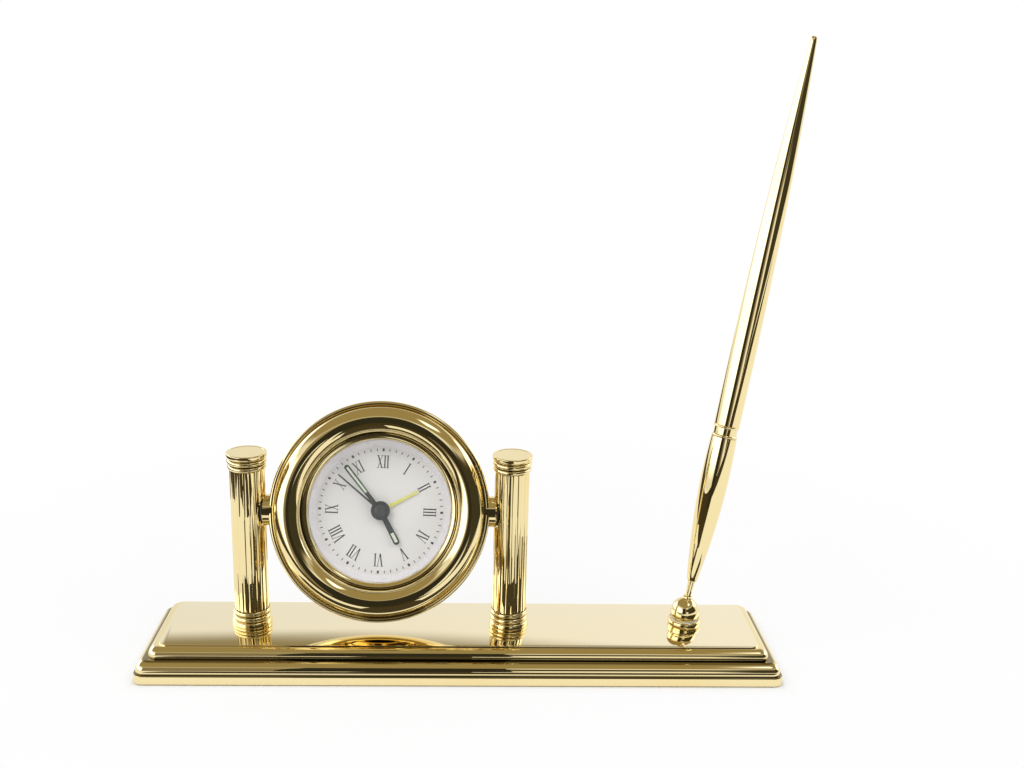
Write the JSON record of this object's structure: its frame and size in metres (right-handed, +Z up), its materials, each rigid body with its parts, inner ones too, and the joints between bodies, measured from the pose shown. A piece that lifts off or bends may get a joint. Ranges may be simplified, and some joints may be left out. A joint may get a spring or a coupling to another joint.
{
  "type": "desk clock",
  "caption": "Desk clock hung on side pivots between fluted columns on a stepped base, with a tapered pen standing in a swivel ball holder.",
  "frame": {"origin": "centre of the felt underside of the base, on the desk", "axes": "+X towards the pen's side, +Y to the back, +Z up"},
  "size_m": [0.2056, 0.0468, 0.1951],
  "materials": {
    "gold_plate": "mirror-polished gold plate",
    "felt": "short black felt",
    "zinc_steel": "zinc-plated steel",
    "black_nylon": "black nylon",
    "nylon": "natural nylon",
    "clear_crystal": "clear mineral glass",
    "white_ring": "white moulded ring",
    "white_dial": "matt white printed dial",
    "dark_hands": "satin black lacquer",
    "alarm_yellow": "satin yellow lacquer",
    "black_moulding": "fine matt black moulding",
    "pale_gears": "natural acetal",
    "brass_arbor": "bright brass",
    "magnet": "dark sintered magnet",
    "soft_iron": "stamped soft iron",
    "copper_wire": "enamelled copper wire",
    "green_board": "green solder mask",
    "sounder_brass": "sheet brass",
    "cell_steel": "plated steel can",
    "spring_bronze": "spring bronze",
    "gasket_rubber": "soft black rubber",
    "refill_steel": "drawn steel tube"
  },
  "bodies": {
    "stand": {"base_casting": "gold_plate", "ballast_plate": "zinc_steel", "felt_pad": "felt", "ballast_screws": "zinc_steel", "column_shaft_left": "gold_plate", "column_shaft_right": "gold_plate", "column_cap_left": "gold_plate", "column_cap_right": "gold_plate", "column_foot_left": "gold_plate", "column_foot_right": "gold_plate", "tie_rods": "zinc_steel", "tie_rod_nuts": "zinc_steel", "pivot_studs": "zinc_steel", "friction_washers": "black_nylon", "holder_cup": "gold_plate", "holder_bolt": "zinc_steel", "holder_spring": "zinc_steel", "holder_nut": "zinc_steel"},
    "swivel_seat": {"ball_seat": "nylon"},
    "ball": {"swivel_ball": "gold_plate"},
    "pen": {"pen_nose_cone": "gold_plate", "pen_lower_barrel": "gold_plate", "pen_collar": "gold_plate", "pen_upper_barrel": "gold_plate", "pen_refill": "refill_steel"},
    "clock": {"case_shell": "gold_plate", "bezel_ring": "gold_plate", "pivot_boss_left": "gold_plate", "pivot_boss_right": "gold_plate", "insert_bezel": "gold_plate", "crystal": "clear_crystal", "rehaut_ring": "white_ring", "dial": "white_dial", "movement_plate": "black_moulding", "train_bridge": "pale_gears", "movement_housing": "black_moulding", "movement_screws": "zinc_steel", "circuit_board": "green_board", "drive_coil": "copper_wire", "stator": "soft_iron", "buzzer_disc": "sounder_brass", "button_cell": "cell_steel", "cell_contacts": "spring_bronze", "mounting_gasket": "gasket_rubber"},
    "second_train": {"second_wheel": "brass_arbor", "second_hand": "dark_hands"},
    "third_train": {"third_wheel": "pale_gears"},
    "step_train": {"step_wheel": "pale_gears"},
    "motor_rotor": {"rotor": "magnet"},
    "minute_train": {"centre_wheel": "pale_gears", "minute_hand": "dark_hands"},
    "hour_train": {"hour_wheel": "pale_gears", "hour_hand": "dark_hands"},
    "time_setting": {"setting_wheel": "pale_gears", "time_set_knob": "black_moulding"},
    "alarm_train": {"alarm_wheel": "pale_gears", "alarm_hand": "alarm_yellow"},
    "alarm_setting": {"alarm_set_knob": "black_moulding"},
    "alarm_slider": {"alarm_switch": "black_moulding"},
    "door": {"battery_door": "black_moulding"}
  },
  "joints": [
    {"name": "clock_tilt", "type": "hinge", "parent": "stand", "child": "clock", "pos_m": [-0.026, 0.0015, 0.0485], "axis": [1, 0, 0], "continuous": true},
    {"name": "second_hand_turn", "type": "hinge", "parent": "clock", "child": "second_train", "pos_m": [-0.026, 0.0015, 0.0485], "axis": [0, 0.9304, -0.3665], "continuous": true},
    {"name": "minute_hand_turn", "type": "hinge", "parent": "clock", "child": "minute_train", "pos_m": [-0.026, 0.0015, 0.0485], "axis": [0, 0.9304, -0.3665], "continuous": true},
    {"name": "hour_hand_turn", "type": "hinge", "parent": "clock", "child": "hour_train", "pos_m": [-0.026, 0.0015, 0.0485], "axis": [0, 0.9304, -0.3665], "continuous": true},
    {"name": "third_wheel_turn", "type": "hinge", "parent": "clock", "child": "third_train", "pos_m": [-0.02786, -0.00037, 0.04374], "axis": [0, 0.9304, -0.3665], "continuous": true},
    {"name": "step_wheel_turn", "type": "hinge", "parent": "clock", "child": "step_train", "pos_m": [-0.02171, 0.00018, 0.04515], "axis": [0, 0.9304, -0.3665], "continuous": true},
    {"name": "rotor_turn", "type": "hinge", "parent": "clock", "child": "motor_rotor", "pos_m": [-0.01895, -0.00067, 0.043], "axis": [0, 0.9304, -0.3665], "continuous": true},
    {"name": "time_knob_turn", "type": "hinge", "parent": "clock", "child": "time_setting", "pos_m": [-0.023, 0.0034, 0.05333], "axis": [0, 0.9304, -0.3665], "continuous": true},
    {"name": "alarm_hand_turn", "type": "hinge", "parent": "clock", "child": "alarm_train", "pos_m": [-0.026, 0.0015, 0.0485], "axis": [0, 0.9304, -0.3665], "continuous": true},
    {"name": "alarm_knob_turn", "type": "hinge", "parent": "clock", "child": "alarm_setting", "pos_m": [-0.0312, 0.0026, 0.05129], "axis": [0, 0.9304, -0.3665], "continuous": true},
    {"name": "alarm_switch_slide", "type": "slide", "parent": "clock", "child": "alarm_slider", "axis": [0, 0.3665, 0.9304], "range_m": [0, 0.002]},
    {"name": "battery_door_slide", "type": "slide", "parent": "clock", "child": "door", "axis": [-1, 0, 0], "range_m": [0, 0.008]},
    {"name": "swivel_turn", "type": "hinge", "parent": "stand", "child": "swivel_seat", "pos_m": [0.0723, 0.0015, 0.0147], "axis": [0, 0, 1], "continuous": true},
    {"name": "ball_tilt", "type": "hinge", "parent": "swivel_seat", "child": "ball", "pos_m": [0.0723, 0.0015, 0.0147], "axis": [-0.5772, 0.8166, 0], "range_deg": [-37.4, 12.6]},
    {"name": "pen_lift", "type": "slide", "parent": "ball", "child": "pen", "axis": [0.1755, 0.1241, 0.9766], "range_m": [0, 0.03]}
  ],
  "couplings": [
    {"joint": "minute_hand_turn", "follows": "second_hand_turn", "ratio": 0.016667},
    {"joint": "hour_hand_turn", "follows": "second_hand_turn", "ratio": 0.0013889},
    {"joint": "third_wheel_turn", "follows": "second_hand_turn", "ratio": -0.13333},
    {"joint": "step_wheel_turn", "follows": "second_hand_turn", "ratio": -6},
    {"joint": "rotor_turn", "follows": "second_hand_turn", "ratio": 30},
    {"joint": "time_knob_turn", "follows": "second_hand_turn", "ratio": -0.0055556},
    {"joint": "alarm_hand_turn", "follows": "alarm_knob_turn", "ratio": -0.25}
  ]
}
